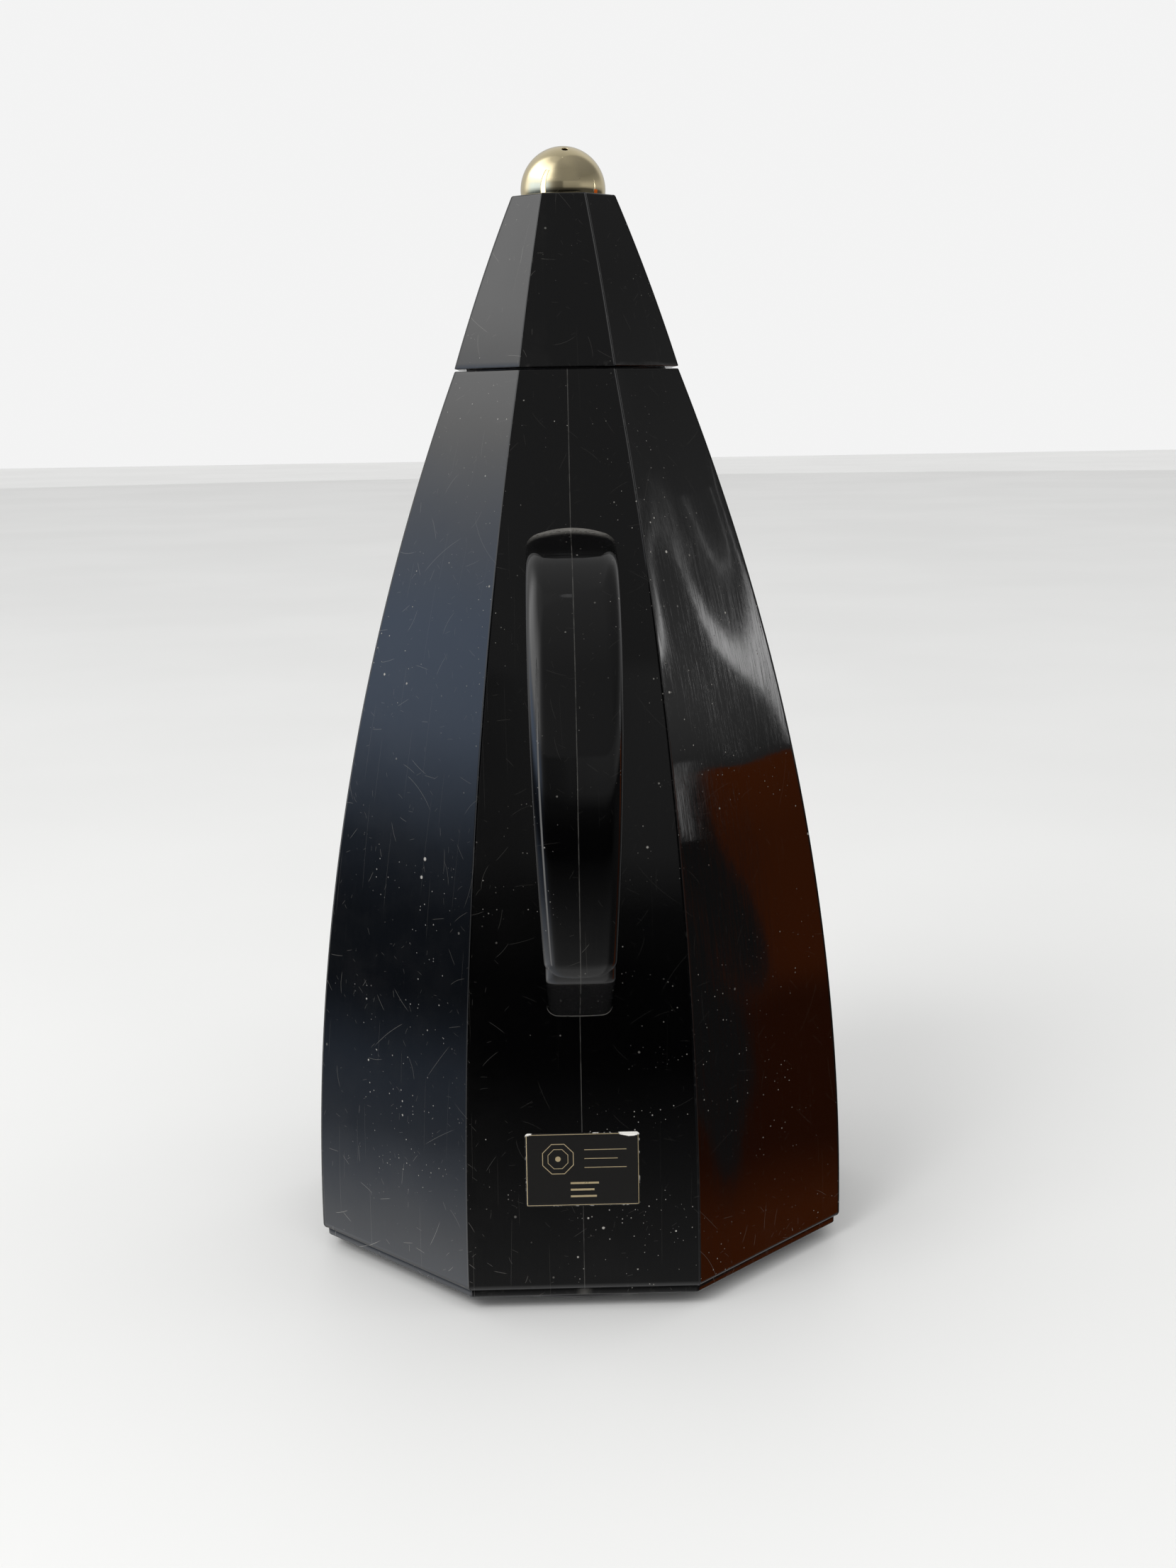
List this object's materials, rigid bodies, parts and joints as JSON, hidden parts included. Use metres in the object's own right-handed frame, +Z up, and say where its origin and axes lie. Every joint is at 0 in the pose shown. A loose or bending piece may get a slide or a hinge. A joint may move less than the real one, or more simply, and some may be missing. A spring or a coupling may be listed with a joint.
{
  "type": "vacuum carafe",
  "caption": "Tapered octagonal vacuum carafe with a bow handle, pouring spout, lift-off pointed lid and a sprung ball button that opens the pouring valve.",
  "frame": {"origin": "on the carafe's axis at the level of the table, under the middle of the foot ring", "axes": "+Z up along the carafe's axis, +Y towards the spout, -Y towards the handle, +X to the right seen from the handle side"},
  "size_m": [0.1476, 0.1787, 0.3047],
  "materials": {
    "casing_plastic": "gloss",
    "lid_plastic": "gloss",
    "badge_foil": "satin",
    "inner_plastic": "satin",
    "white_plastic": "satin",
    "base_plastic": "satin",
    "pale_rubber": "matte",
    "dark_rubber": "matte",
    "silvered_glass": "polished",
    "spacer_felt": "matte",
    "foam": "matte",
    "steel": "satin",
    "gilt": "polished"
  },
  "bodies": {
    "jug": {"outer_casing": "casing_plastic", "handle_grip": "casing_plastic", "handle_heel": "casing_plastic", "pouring_spout": "casing_plastic", "label": "badge_foil", "neck_collar": "inner_plastic", "collar_gasket": "pale_rubber", "flask_outer_wall": "silvered_glass", "flask_inner_wall": "silvered_glass", "wall_spacer_pads": "spacer_felt", "support_cushion": "dark_rubber", "support_cup": "white_plastic", "bottom_ring": "casing_plastic", "base_cap": "base_plastic", "foot_ring": "dark_rubber"},
    "seal": {"neck_seal": "dark_rubber"},
    "lid": {"lid_shell": "lid_plastic", "stem_guide": "inner_plastic", "lid_insulation": "foam", "stopper_housing": "inner_plastic", "stem_o_ring": "dark_rubber", "lid_screws": "steel"},
    "button": {"ball_button": "gilt", "push_stem": "steel", "spring_cap": "steel", "return_spring": "steel", "valve_disc": "white_plastic", "valve_seal": "dark_rubber", "valve_nut": "steel"}
  },
  "joints": [
    {"name": "lid_lift", "type": "slide", "parent": "jug", "child": "seal", "axis": [0, 0, 1], "range_m": [0, 0.08]},
    {"name": "lid_turn", "type": "hinge", "parent": "seal", "child": "lid", "pos_m": [0, 0, 0.23], "axis": [0, 0, 1], "range_deg": [0, 45]},
    {"name": "button_press", "type": "slide", "parent": "lid", "child": "button", "axis": [0, 0, -1], "range_m": [0, 0.005], "stiffness_N_per_m": 400, "springref_m": -0.004, "deforming": ["return_spring"]}
  ]
}
